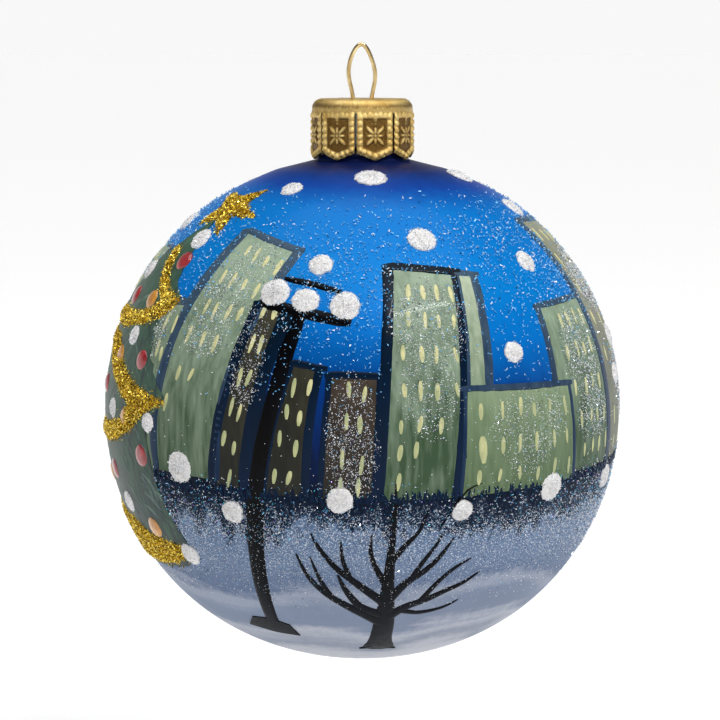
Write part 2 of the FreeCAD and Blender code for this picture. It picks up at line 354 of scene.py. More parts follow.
# Colours up the globe: elevation and display values. Snow ground, dusk, blue sky, then darker towards the
# neck: airbrushed navy with painted shade under the cap.
LACQUER = [
    (-80, (190, 192, 197)), (-63, (172, 175, 184)), (-58.5, (132, 139, 154)), (-52, (168, 172, 183)),
    (-47, (118, 129, 150)), (-42, (122, 134, 156)), (-37, (148, 156, 172)), (-33, (94, 110, 138)),
    (-25, (100, 118, 146)), (-19, (92, 112, 142)), (-16.5, (6, 28, 54)), (-8, (1, 12, 28)),
    (2, (4, 28, 74)), (13, (0, 50, 120)), (25, (0, 104, 184)), (36, (0, 116, 192)), (55, (0, 108, 186)),
    (64, (6, 62, 148)), (75, (16, 28, 74)),
]


def shifted_elevation(s, place, fine):
    """Elevation moved about by drifts, brush streaks, spray and a painted light on the +X side, and which
    places are snow ground.
    """
    sideways = s.node("ShaderNodeSeparateXYZ", Vector=place).outputs["X"]
    broad = s.noise(place, 18, 2)
    waves = s.noise(s.stretched(place, 1, 1, 0.5), 26, 1, 0.3)
    drips = s.noise(s.stretched(place, 1, 1, 0.3), 2.6, 2)
    brushed = s.noise(s.stretched(place, 0.16, 0.16, 1.5), 2.4, 3, 0.5)
    height = s.maths("ADD", s.elevation(place), s.spread(broad, 0, 1, -0.012, 0.012))
    # Painted light: on the +X side, where the light falls, the sky's colours move down the globe so it
    # looks lighter; on the -X side they move up.
    painted_light_side = s.maths("MULTIPLY", s.spread(sideways, -RADIUS, RADIUS, -0.03, 0.03),
                           s.spread(height, level(2), level(14)))
    height = s.maths("ADD", height, painted_light_side)
    ground = s.spread(height, level(-24), level(-34))
    air = s.maths("MULTIPLY", s.maths("SUBTRACT", 1.0, ground),
                  s.spread(height, level(12), level(-6), 0.25))
    drifts = s.maths("MULTIPLY", ground, s.spread(waves, 0.3, 0.7, -0.045, 0.045))
    ragged = s.maths("ADD", s.spread(fine, 0.2, 0.8, -0.018, 0.018),
                     s.spread(drips, 0.3, 0.7, -0.014, 0.014))
    streaks = s.maths("ADD", s.spread(brushed, 0.3, 0.7, -0.013, 0.013),
                      s.spread(fine, 0.3, 0.7, -0.004, 0.004))
    edge = s.maths("ADD", height, drifts)
    edge = s.maths("ADD", edge, s.maths("MULTIPLY", air, ragged))
    edge = s.maths("ADD", edge, s.spread(fine, 0, 1, -0.004, 0.004))
    edge = s.maths("ADD", edge, s.maths("MULTIPLY", ground, streaks))
    return height, edge, ground


def lacquer():
    """Metallic sky over silvered glass, a dark band of dusk and a sprayed snow ground."""
    s = Surface("lacquer", Specular_IOR_Level=0.05, Coat_Weight=0.04, Coat_Roughness=0.06)
    place = s.place()
    fine = s.noise(s.stretched(place, 1, 1, 0.45), 1.1, 4, 0.65)
    height, edge, ground = shifted_elevation(s, place, fine)
    colour = s.ramp(edge, [(level(elevation), srgb(*shade)) for elevation, shade in LACQUER])
    flecks = s.spread(s.noise(place, 0.2, 1), 0.56, 0.66)
    powdered = s.maths("MULTIPLY", s.spread(edge, level(-12), level(-16)),
                       s.spread(height, level(-34), level(-20)))
    colour = s.blend(s.maths("MULTIPLY", flecks, powdered), colour, srgb(186, 196, 210))
    mottle = s.spread(s.noise(place, 0.45, 3, 0.7), 0.35, 0.65, 0.0, 0.16)
    colour = s.blend(s.maths("MULTIPLY", mottle, ground), colour, srgb(96, 104, 124))
    rise = s.node("ShaderNodeSeparateXYZ", Vector=place).outputs["Z"]
    neck = s.maths("MULTIPLY", s.within_axis(place, NECK_RADIUS * 1.06, NECK_RADIUS),
                   s.spread(rise, BARE_NECK, BARE_NECK + 0.6 * MM))
    s.put("Base Color", s.blend(neck, colour, srgb(206, 208, 212)))
    s.put("Metallic", s.maths("MAXIMUM", s.spread(edge, level(-15), level(4), 0.0, 0.1), neck))
    s.put("Roughness", s.spread(edge, level(-17), level(-15), 0.55, 0.4))
    s.bump(fine, 0.006)
    return s.material


def paint(name, upper, lower, low=-8, high=40, gloss=0.42, streak=0.22, across=(1, 1, 0.12), shine=0.15):
    """Brushed enamel that changes from a lower to an upper colour, with streaks along the brush."""
    s = Surface(name, Roughness=gloss, Specular_IOR_Level=shine, Coat_Weight=0.06, Coat_Roughness=0.05)
    place = s.place()
    bristles = s.noise(s.stretched(place, *across), 0.8, 3, 0.5)
    pools = s.noise(s.stretched(place, 1, 1, 0.5), 5, 2)
    share = s.spread(s.elevation(place), level(low), level(high))
    share = s.maths("ADD", share, s.spread(pools, 0.3, 0.7, -0.18, 0.18))
    share = s.maths("ADD", share, s.spread(bristles, 0.3, 0.7, -streak, streak))
    s.put("Base Color", s.blend(s.maths("MINIMUM", s.maths("MAXIMUM", share, 0), 1), lower, upper))
    s.put("Roughness", s.spread(bristles, 0.2, 0.8, gloss - 0.08, gloss + 0.12))
    s.bump(bristles, 0.03)
    return s.material


def paste(name, colour, shade):
    """Coarse white paste full of crushed glass."""
    s = Surface(name, Roughness=0.45)
    place = s.place()
    grain = s.noise(place, 0.28, 3, 0.7)
    s.put("Base Color", s.blend(s.spread(grain, 0.3, 0.6), shade, colour))
    s.bump(grain, 0.12)
    return s.material


def enamel(name, light, dark):
    """Glossy drop of enamel with soft streaks."""
    s = Surface(name, Roughness=0.22, Coat_Weight=0.6, Coat_Roughness=0.08)
    place = s.place()
    swirl = s.noise(s.stretched(place, 1, 1, 0.4), 0.9, 3)
    s.put("Base Color", s.blend(s.spread(swirl, 0.3, 0.7), dark, light))
    s.bump(swirl, 0.05)
    return s.material


def sparkle(name, colour, metallic=0.0, roughness=0.25, **settings):
    """Plain chip material: its variety comes from how the chips lie."""
    s = Surface(name, Base_Color=colour, Metallic=metallic, Roughness=roughness, **settings)
    return s.material


def gilding(name, bright, deep, roughness):
    """Gilt metal, a little uneven, clouded between a bright and a deeper colour."""
    s = Surface(name, Metallic=1.0)
    place = s.place()
    cloud = s.noise(place, 2.5, 3)
    pits = s.noise(place, 0.16, 2, 0.7)
    s.put("Base Color", s.blend(s.spread(cloud, 0.3, 0.7), deep, bright))
    s.put("Roughness", s.spread(pits, 0.2, 0.8, roughness - 0.06, roughness + 0.12))
    s.bump(pits, 0.02)
    return s.material


# ---------------------------------------------------------------- palette
SAGE = paint("sage_paint", srgb(142, 160, 138), srgb(52, 74, 50), -8, 42, shine=0.12)
PALE_SAGE = paint("pale_sage_paint", srgb(166, 178, 154), srgb(104, 124, 100), 5, 40)
MOSS = paint("moss_paint", srgb(124, 142, 112), srgb(78, 98, 68), -8, 14)
UMBER = paint("umber_paint", srgb(66, 56, 46), srgb(30, 26, 20), -8, 20)
BARK = paint("bark_brown_paint", srgb(56, 54, 42), srgb(22, 24, 18), -8, 30)
STONE = paint("stone_paint", srgb(136, 138, 118), srgb(78, 84, 68), -8, 45)
NAVY = paint("navy_ink", srgb(4, 18, 28), srgb(4, 26, 52), -8, 40, 0.3, 0.2, shine=0.05)
SLATE = paint("slate_ink", srgb(60, 80, 98), srgb(16, 38, 66), -8, 40, 0.35, shine=0.06)
BLACK = paint("black_enamel", srgb(3, 3, 5), srgb(20, 23, 30), -60, -10, 0.3, 0.1, (1, 1, 0.12), 0.04)
CREAM = paint("window_cream", srgb(204, 200, 148), srgb(160, 166, 122), -10, 40, 0.35, 0.6, (1, 1, 0.3))
FIR = paint("fir_green", srgb(72, 104, 84), srgb(46, 64, 62), -30, 45, 0.4, 0.7, (1, 1, 0.25))
FIR_DARK = paint("fir_shade", srgb(58, 88, 70), srgb(34, 50, 50), -30, 45, 0.4, 0.7, (1, 1, 0.25))
FIR_FROST = paint("fir_frost", srgb(94, 118, 102), srgb(74, 92, 94), -30, 45, 0.45, 0.6, (1, 1, 0.25))

# ---------------------------------------------------------------- the painted town
# Corners are top left, top right, bottom right, bottom left; belly bows both sides by that many
# degrees. Outline widths are left, top, right. over lifts a tower's paint above its neighbours'.
# A row of windows runs from one place to another: azimuth, elevation, azimuth, elevation, how many,
# and how large if not the usual size.
def tower(name, corners, outline, windows, belly=0, colour=SAGE, ink=SLATE, over=0):
    return dict(name="tower_" + name, corners=np.array(corners, float), outline=outline,
                windows=windows, belly=belly, colour=colour, ink=ink, over=over)


TOWERS = [
    tower("west_end", [(-99, 41), (-74, 40), (-76, -9), (-100, -9)], (2, 1.3, 2),
          [(-96, 37, -82, 36.5, 4), (-96, 30, -84, 30, 4), (-97, 1, -91, 1, 2), (-97, -5, -92, -5, 2)]),
    tower("behind_fir", [(-58, 28), (-45.5, 28), (-50, -8), (-60, -8)], (1, 1.8, 1),
          [(-51, 24, -48, 24, 2), (-52, 18, -49.3, 17, 2)]),
    tower("leaning", [(-37.5, 46.8), (-19.5, 42.5), (-32, -7), (-47.5, -7)], (3, 1.8, 2.4),
          [(-34.5, 42.5, -23, 39, 4), (-38, 35.5, -27, 33, 4), (-39.3, 28.2, -29.3, 27.3, 4),
           (-42, 21.7, -34, 20.5, 3), (-43.2, 14.3, -39.2, 13.8, 2), (-45, 7, -45, 7, 1)], belly=-3.4),
    tower("dark", [(-23.4, 30), (-18.6, 29.5), (-26, -8), (-31.4, -8)], (2.8, 1, 3.6),
          [(-23, 28, -20.7, 28, 2), (-24.8, 21.5, -22.5, 21.7, 2), (-26, 14.5, -24, 14.5, 2),
           (-27.5, 8.7, -25.7, 7.5, 2), (-29.3, 2, -27, 0.5, 2), (-28, -6.3, -28, -6.3, 1)],
          belly=-0.9, colour=BARK, ink=NAVY),
    tower("umber", [(-14.3, 17.2), (-9.8, 16.4), (-12.3, -9), (-19.8, -9)], (1, 1.5, 2),
          [(-14, 13, -11, 13, 2), (-15, 8, -12.2, 7, 2), (-16.8, 1.7, -13.7, 1, 2),
           (-18, -5, -14.3, -5, 2)], belly=-0.6, colour=BARK, ink=NAVY),
    tower("brown", [(-6.3, 15), (3, 14.8), (1.8, -9), (-8, -9)], (1.3, 1.5, 1.5),
          [(-2.7, 12.5, 0.5, 12, 2), (-3.5, 6.5, 0, 6, 2), (-4.3, -1, -0.5, -2, 2),
           (-4.5, -7, -0.8, -6.7, 2)], colour=UMBER, ink=NAVY),
    tower("tall_side", [(25.3, 36.4), (28.4, 36), (26, 11.5), (22.6, 11.5)], (1, 1.5, 2.2),
          [], colour=PALE_SAGE),
    tower("tall", [(8, 38.3), (23.2, 36.7), (18.4, -9.5), (4.3, -9.5)], (2.6, 1.9, 2.3),
          [(11, 33.5, 21.5, 32, 4), (10.5, 27, 21, 26, 4), (9, 20.3, 20, 19.5, 4),
           (8.3, 12.5, 19, 12, 4), (8, 5.7, 15.5, 5.3, 3), (7.3, 0, 11, 0.3, 2), (7.2, -6, 7.2, -6, 1)],
          belly=-0.3, ink=NAVY),
    tower("right", [(46.5, 27.4), (64.3, 28), (66, -8), (44.8, -8)], (2, 1.4, 2),
          [(52, 24, 62.5, 24, 4), (52, 17.5, 62.3, 17.5, 4), (52, 10, 62.5, 10, 4),
           (53, 3.2, 64, 2.8, 4), (54.3, -3.5, 64.5, -3.2, 4)]),
    tower("low", [(21.8, 11.8), (48.6, 10.6), (50, -9), (20.8, -9.5)], (1, 1.3, 1.4),
          [(25, 7.6, 46.8, 6.7, 6), (24.8, 0, 24.8, 0, 1, 1.7), (29.3, 0.5, 47.5, 0.4, 5),
           (24.2, -6.1, 48.4, -5.7, 6)], colour=MOSS, over=0.06),
    tower("east_end", [(66.3, 48.5), (92, 47), (96, -8), (69, -8)], (3.2, 1.8, 2.5),
          [(68.7, 44.5, 88, 43, 4), (69.5, 37.5, 89, 36, 4), (70, 30, 90, 29, 4),
           (70.5, 22.5, 91, 22, 4), (71, 15, 91.5, 15, 4), (86, 8, 92, 8, 2), (72, 1, 92, 1, 4),
           (73, -5, 86, -5, 3)], colour=STONE),
    tower("back_dark", [(101, 27), (116, 28), (117, -9), (101, -9)], (2, 1.5, 2),
          [(104, 22, 113, 22.5, 3), (104, 14.5, 113, 15, 3), (104.5, 7, 113, 7.5, 3),
           (108, 0, 113, 0, 2), (104, -6, 108, -6, 2)], belly=0.5, colour=BARK, ink=NAVY),
    tower("back_low", [(120, 18), (137, 17), (138, -9), (120, -9)], (1.5, 1.4, 1.5),
          [(123, 13.5, 134, 13, 4), (122.5, 6.5, 134.5, 6, 4), (123, 0, 129, 0, 2),
           (123, -6, 127, -6, 2)], colour=MOSS),
    tower("back_tall", [(140, 37), (154, 35), (150, -9), (137, -9)], (2.2, 1.8, 2.2),
          [(142.5, 32, 150.5, 31, 3), (142, 25, 150, 24.5, 3), (141, 18, 149, 17.5, 3),
           (140.5, 11, 148.5, 10.5, 3), (140, 4, 148, 3.5, 3), (142, -3.5, 147, -3.5, 2)],
          belly=-1, ink=NAVY),
    tower("back_brown", [(157, 15), (169, 16), (167, -9), (155, -9)], (1.5, 1.5, 1.8),
          [(164, 11, 167, 11.5, 2), (163, 4.5, 166.5, 5, 2), (161.5, -2, 165.5, -2, 2)],
          colour=UMBER, ink=NAVY),
    tower("back_green", [(173.5, 27), (188, 28), (188, -9), (171.5, -9)], (2, 1.5, 2),
          [(176, 22.5, 185.5, 23, 4), (175.5, 15.5, 185.5, 16, 4), (175, 8.5, 185.5, 8.5, 4),
           (175, 1.5, 185.5, 1.5, 4)], belly=0.6),
    tower("back_wide", [(192, 17), (215, 16), (216, -9), (191, -9)], (1.4, 1.4, 1.4),
          [(195, 12.5, 212, 12, 6), (195, 6, 212, 5.5, 6), (194.5, -0.5, 212.5, -0.8, 6)], colour=MOSS),
    tower("back_leaning", [(223, 35), (234, 37), (231, -9), (217, -9)], (2.2, 1.8, 2.4),
          [(225.5, 31, 232, 32, 3), (225, 24, 233, 24.5, 3), (224, 17, 233, 17, 4),
           (223, 10, 232.5, 10, 4), (222, 3, 232, 3, 4), (224, -4, 231, -4, 3)], belly=1.5, ink=NAVY),
    tower("back_umber", [(238, 21), (251, 20), (253, -9), (236, -9)], (1.6, 1.5, 1.8),
          [(245, 16.5, 249, 16, 2), (241, 9.5, 249, 9, 3), (240.5, 3, 249.5, 2.5, 3),
           (240, -4, 249, -4, 3)], colour=BARK, ink=NAVY),
]
# Heights of the paint above the glass.
PAINT_TOP = 0.05
INK_TOP = 0.09
WINDOW_TOP = 0.12
STIPPLE_TOP = 0.19
FIR_TOP = 0.13
LAMP_TOP = 0.17
# Neighbouring towers differ this much in height, so that none lies exactly in another.
LAYER_STEP = 0.002
LAYERS = 11
EDGE_PLACES = 14


def edge_place(tower, side, share):
    """Place on a tower's left (0) or right (1) edge, from its top at share 0 to its foot at 1."""
    top, foot = tower["corners"][side], tower["corners"][3 - side]
    place = top + (foot - top) * share
    place[0] += tower["belly"] * 4 * share * (1 - share)
    return place


def ink_tower(ink, tower, left, right, top, rng):
    """Brushed outline down both sides and over the roof."""
    wide = tower["outline"]
    for edge, width, outside in ((left, wide[0], -0.4), (right, wide[2], 0.4)):
        rows = []
        for azimuth, elevation in edge[::2] + edge[-1:]:
            brush = width * rng.uniform(0.88, 1.08)
            rows.append((azimuth + outside * brush / math.cos(math.radians(elevation)), elevation, brush))
        rows[0] = (rows[0][0], rows[0][1] + 0.4, rows[0][2])
        rows[-1] = (rows[-1][0], rows[-1][1], rows[-1][2] * 0.5)
        stroke(ink, rows, top)
    (a0, e0), (a1, e1) = left[0], right[0]
    up = wide[1] / 2
    stroke(ink, [(a0 - wide[0] * 1.1, e0 + up - 0.3, wide[1] * 0.7), (a0, e0 + up, wide[1]),
                 ((a0 + a1) / 2, (e0 + e1) / 2 + up, wide[1] * 1.1), (a1, e1 + up, wide[1]),
                 (a1 + wide[2] * 1.3, e1 + up - 0.2, wide[1] * 0.7)], top + 0.004)


def light_windows(panes, tower, rng):
    """Rows of lit windows, each one touch of the brush that leans with the tower."""
    top_left, top_right, foot_right, foot_left = tower["corners"]
    lean = (top_left + top_right - foot_left - foot_right)[0] / 2 / (top_left - foot_left)[1]
    for a0, e0, a1, e1, count, *size in tower["windows"]:
        size = size[0] if size else 1
        for i in range(count):
            share = i / max(count - 1, 1)
            azimuth = a0 + (a1 - a0) * share + rng.normal(0, 0.3)
            elevation = e0 + (e1 - e0) * share + rng.normal(0, 0.25)
            tall = rng.uniform(2.6, 4.0) * size
            wide = rng.uniform(0.85, 1.25) * size
            tilt = lean * tall / 2 + rng.normal(0, 0.12)
            rows = [(azimuth + tilt, elevation + tall / 2, wide * 0.5),
                    (azimuth + tilt * 0.5, elevation + tall / 4, wide),
                    (azimuth - tilt * 0.3, elevation - tall / 6, wide),
                    (azimuth - tilt, elevation - tall / 2, wide * 0.45)]
            stroke(panes, rows, WINDOW_TOP + tower["over"], step=0.9)


def paint_town(rng):
    panes = Piece()
    for layer, tower in enumerate(TOWERS):
        lift = LAYER_STEP * (layer % LAYERS) + tower["over"]
        shares = np.linspace(0, 1, EDGE_PLACES)
        left = [edge_place(tower, 0, t) for t in shares]
        right = [edge_place(tower, 1, t) for t in shares]
        face = Piece()
        fill(face, [*left, *reversed(right)], PAINT_TOP + lift, wobble=0.08, rng=rng)
        face.make(tower["name"], [tower["colour"]])
        ink = Piece()
        ink_tower(ink, tower, left, right, INK_TOP + lift, rng)
        ink.make(tower["name"] + "_outline", [tower["ink"]])
        light_windows(panes, tower, rng)
    panes.make("town_windows", [CREAM])


# Elevation of the dusk at the towers' feet.
DUSK = -9.8
DABS = 1300


def stipple_dusk(rng):
    """Short upward dabs of dusk blue that break up the feet of the towers."""
    dabs = Piece()
    for _ in range(DABS):
        azimuth = rng.uniform(-180, 180)
        foot = DUSK + rng.normal(0, 0.4)
        tip = foot + rng.uniform(0.8, 2.5)
        if inside(FIR_OUTLINE, azimuth, tip):
            continue
        wide = rng.uniform(0.25, 0.6)
        stroke(dabs, [(azimuth, foot, wide), (azimuth + rng.normal(0, 0.2), (foot + tip) / 2, wide),
                      (azimuth + rng.normal(0, 0.4), tip, wide * 0.3)], STIPPLE_TOP, step=1.0)
    dabs.make("dusk_stipple", [NAVY])


# ---------------------------------------------------------------- pressed gilt cap
CAP_LOW, CAP_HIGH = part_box("crown_cap")
# The flat of the sheet lies this far inside the CAD cap, because the beads stand out from it.
BEAD_ROOM = 0.12
CAP_RADIUS = (CAP_HIGH.x - CAP_LOW.x) / 2 / MM - BEAD_ROOM
CAP_TOP = CAP_HIGH.z / MM
CAP_FOOT = CAP_LOW.z / MM
SHEET = 0.3
SHOULDER = 1.5
SKIRT = CAP_TOP - SHOULDER - CAP_FOOT
TABS = 8
FIRST_TAB = 15
TAB_HALF = math.pi * CAP_RADIUS / TABS
POINT_DEPTH = 1.2
SLIT = 0.3
WIRE_HOLE = 0.6
HOLE_OFFSET = 1.35
PANEL_HALF = 1.95
PANEL_DEPTH = 0.2
# Heights above a tab's tip of the slit's end, the panel's top and the rosette's middle.
SLIT_TOP = 7.05
PANEL_TOP = 6.4
ROSETTE = 3.75
# How finely the cap's mesh is divided.
COLUMNS_IN_TAB = 52
SKIRT_ROWS = 54
SHOULDER_ROWS = 8
TOP_RINGS = 22


def bead(across, along, wide, long, height):
    """Oval bead pressed up from the sheet, from the distances to its middle and its half sizes."""
    away = np.hypot(across / wide, along / long)
    return height * np.sqrt(np.clip(1 - away ** 2, 0, 1))


def petal(u, v, turn, reach, width, height):
    """Long drop that points away from the rosette's middle."""
    along = u * math.cos(turn) + (v - ROSETTE) * math.sin(turn)
    across = -u * math.sin(turn) + (v - ROSETTE) * math.cos(turn)
    return bead(across, along - reach / 2 - 0.2, width, reach / 2, height)


def tab_relief(u, v):
    """Height of the pressed pattern at u across a tab and v above its tip, in millimetres."""
    edge = POINT_DEPTH * np.abs(u) / TAB_HALF
    inner = np.minimum(np.minimum(PANEL_HALF - np.abs(u), v - edge - 1.1), PANEL_TOP - v)
    rows = [(0, 6.1, 0.36, 0.36, 0.2), (0, 5.55, 0.26, 0.26, 0.2), (0, ROSETTE, 0.26, 0.26, 0.26)]
    for side in (-1, 1):
        rows += [(side * (TAB_HALF - 0.62), 1.65 + 0.98 * i, 0.47, 0.47, 0.3) for i in range(6)]
        rows.append((side * 1.5, ROSETTE, 0.165, 1.65, 0.1))
    rows += [(0.86 * i, 0.62 + POINT_DEPTH * abs(0.86 * i) / TAB_HALF, 0.44, 0.44, 0.3)
             for i in range(-2, 3)]
    rows += [(0.84 * i, 6.75 + 0.12 * (i % 2), 0.42, 0.42, 0.15) for i in range(-3, 4)]
    shapes = [bead(u - middle, v - up, wide, long, height) for middle, up, wide, long, height in rows]
    for i in range(8):
        reach, width = ((1.2, 0.26), (1.9, 0.34))[i % 2]
        shapes.append(petal(u, v, i * math.pi / 4, reach, width, 0.26))
    return np.max(shapes, 0) - PANEL_DEPTH * np.clip(inner / 0.2, 0, 1)


def cap_point(azimuth, radius, height):
    a = math.radians(azimuth)
    return (radius * MM * math.sin(a), -radius * MM * math.cos(a), height * MM)


def press_skirt(cap, rng):
    """Rolled shoulder and eight stamped tabs with slits between them; returns the top's rim."""
    azimuths = []
    offsets = []
    for tab in range(TABS):
        for u in np.linspace(-TAB_HALF + SLIT / 2, TAB_HALF - SLIT / 2, COLUMNS_IN_TAB):
            azimuths.append(FIRST_TAB + 360 / TABS * tab + math.degrees(u / CAP_RADIUS))
            offsets.append(u)
    columns = len(azimuths)
    edge = POINT_DEPTH * np.abs(offsets) / TAB_HALF
    share = np.linspace(0, 1, SKIRT_ROWS)[:, None]
    heights = SKIRT + (edge[None] - SKIRT) * share
    relief = tab_relief(np.broadcast_to(offsets, heights.shape), heights)
    relief += rng.normal(0, 0.013, relief.shape)
    relief[0] = 0
    points = []
    for i in range(SHOULDER_ROWS):
        turn = math.pi / 2 * (1 - i / SHOULDER_ROWS)
        reach = SHOULDER + rng.normal(0, 0.026, columns) * (i > 0)
        ring = CAP_RADIUS - SHOULDER + reach * math.cos(turn)
        rise = CAP_TOP - SHOULDER + reach * math.sin(turn)
        points.extend(map(cap_point, azimuths, ring, rise))
    for bulge, height in zip(relief, heights):
        points.extend(map(cap_point, azimuths, CAP_RADIUS + bulge, CAP_FOOT + height))
    faces = []
    for i in range(SHOULDER_ROWS + SKIRT_ROWS - 1):
        for j in range(columns):
            k = (j + 1) % columns
            low = i >= SHOULDER_ROWS and heights[i - SHOULDER_ROWS + 1, j] < SLIT_TOP
            if not (low and j % COLUMNS_IN_TAB == COLUMNS_IN_TAB - 1):
                a = i * columns
                faces.append((a + j, a + k, a + columns + k, a + columns + j))
    cap.add(points, faces)
    return [Vector(point[:2]) for point in points[:columns]]


def ring_places(radius, count, middle=Vector((0, 0)), start=0):
    """Evenly spaced places on a circle in the plane of the cap's top, in metres."""
    turns = np.linspace(0, 2 * math.pi, count, endpoint=False) + start
    return [middle + Vector((math.cos(t), math.sin(t))) * radius * MM for t in turns]


def close_top(cap, rim, rng):
    """Flat top inside the shoulder, pierced by the two wire holes."""
    holes = [Vector((side * HOLE_OFFSET * MM, 0)) for side in (-1, 1)]

    def clear_of_holes(place, share):
        return min((place - hole).length for hole in holes) > WIRE_HOLE * share * MM

    spots = []
    for ring in range(1, TOP_RINGS):
        spots += ring_places((CAP_RADIUS - SHOULDER) * ring / TOP_RINGS, max(6, 6 * ring), start=ring)
    spots = rim + [place for place in spots if clear_of_holes(place, 1.15)]
    for hole in holes:
        spots += ring_places(WIRE_HOLE, 28, hole)
    flat, _, lids, *_ = geometry.delaunay_2d_cdt(spots, [], [list(range(len(rim)))], 1, 1e-7)
    lids = [face for face in lids
            if clear_of_holes(sum((flat[i] for i in face), Vector((0, 0))) / 3, 0.97)]
    cap.add([(p.x, p.y, (CAP_TOP + (rng.normal(0, 0.006) if i >= len(rim) else 0)) * MM)
             for i, p in enumerate(flat)], [tuple(face) for face in lids])


def press_cap(material, rng):
    """Skirt, shoulder and top welded into one sheet of even thickness."""
    cap = Piece()
    close_top(cap, press_skirt(cap, rng), rng)
    made = cap.make("pressed_cap", [material], body="cap", crease=60)
    weld = bmesh.new()
    weld.from_mesh(made.data)
    bmesh.ops.remove_doubles(weld, verts=weld.verts, dist=0.0004 * MM)
    bmesh.ops.recalc_face_normals(weld, faces=weld.faces)
    weld.to_mesh(made.data)
    weld.free()
    wall = made.modifiers.new("sheet", "SOLIDIFY")
    wall.thickness = SHEET * MM
    wall.offset = -1
    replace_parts(made, "crown_cap")


# The hanger's line in the XZ plane: x and height above the cap, in millimetres.
HANGER = [
    (-4.7, -11.3), (-3.1, -6), (-1.5, -1.3), (-1.38, -0.3), (-1.62, 1.2), (-1.98, 2.8), (-2.1, 4.3),
    (-1.8, 6), (-1.05, 7.6), (-0.2, 8.25), (0.6, 7.75), (1.4, 6.1), (1.92, 4.2), (1.9, 2.6),
    (1.6, 1.1), (1.36, -0.3), (1.5, -1.3), (3.1, -6), (4.7, -11.3),
]
WIRE = 0.65


def bend_hanger(material):
    """Springy wire eye with two legs that spread inside the neck."""
    line = smooth_path([(x, z, 0) for x, z in HANGER], 0.12)[:, :2]
    along = np.gradient(line, axis=0)
    along /= np.linalg.norm(along, axis=1)[:, None]
    turn = np.linspace(0, 2 * math.pi, 14, endpoint=False)
    side = np.cos(turn)[None] * WIRE / 2
    x = line[:, 0][:, None] - along[:, 1][:, None] * side
    z = line[:, 1][:, None] + along[:, 0][:, None] * side + CAP_TOP
    y = np.broadcast_to(np.sin(turn)[None] * WIRE / 2, x.shape)
    wire = Piece()
    wire.add(np.stack([x, y, z], -1).reshape(-1, 3) * MM, tube_faces(len(line), len(turn)))
    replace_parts(wire.make("hanger_eye", [material], body="hanger", crease=50), "hanger_wire")


def cap_gilding():
    """Gilt brass, dark brown in the pressed panels."""
    s = Surface("cap_gilt", Metallic=1.0)
    place = s.place()
    cloud = s.noise(place, 2.5, 3)
    pits = s.noise(place, 0.14, 2, 0.7)
    depth = s.within_axis(place, (CAP_RADIUS + 0.06) * MM, (CAP_RADIUS - 0.1) * MM)
    skirt = s.spread(s.elevation(place), level(81.3), level(80.6))
    deep = s.maths("MULTIPLY", depth, skirt)
    gold = s.blend(s.spread(cloud, 0.3, 0.7), srgb(208, 172, 96), srgb(250, 222, 148))
    # Dark brown for the pressed panels.
    panel_brown = s.blend(s.spread(pits, 0.35, 0.65), srgb(80, 56, 26), srgb(146, 112, 58))
    s.put("Base Color", s.blend(deep, gold, panel_brown))
    s.put("Roughness", s.spread(pits, 0.2, 0.8, 0.28, 0.48))
    s.bump(pits, 0.1)
    return s.material


# ---------------------------------------------------------------- street lamp and bare tree
LAMP_POST = [(-14.3, 28.5, 2.6), (-15, 25, 3.0), (-16.3, 20, 3.3), (-18.3, 10, 3.6), (-20.5, 0, 3.8),
             (-22.3, -10, 3.8), (-24.2, -25, 3.6), (-25.4, -35, 3.3), (-26.5, -43, 3.0)]
LAMP_ARM = [(-24.5, 30, 1.4), (-22, 29.8, 2.4), (-14, 28.5, 2.6), (-5, 26.9, 2.4), (-2.5, 26.4, 1.4)]
LAMP_BAR = [(-19.8, 36, 0.9), (-17, 35.6, 1.4), (-12, 34.8, 1.5), (-7, 33.6, 1.4), (-5, 33.1, 0.8)]
LAMP_FOOT = [(-33, -42.6), (-27, -42.2), (-21.5, -44), (-20, -48.6), (-28, -48.2), (-37, -46.5)]

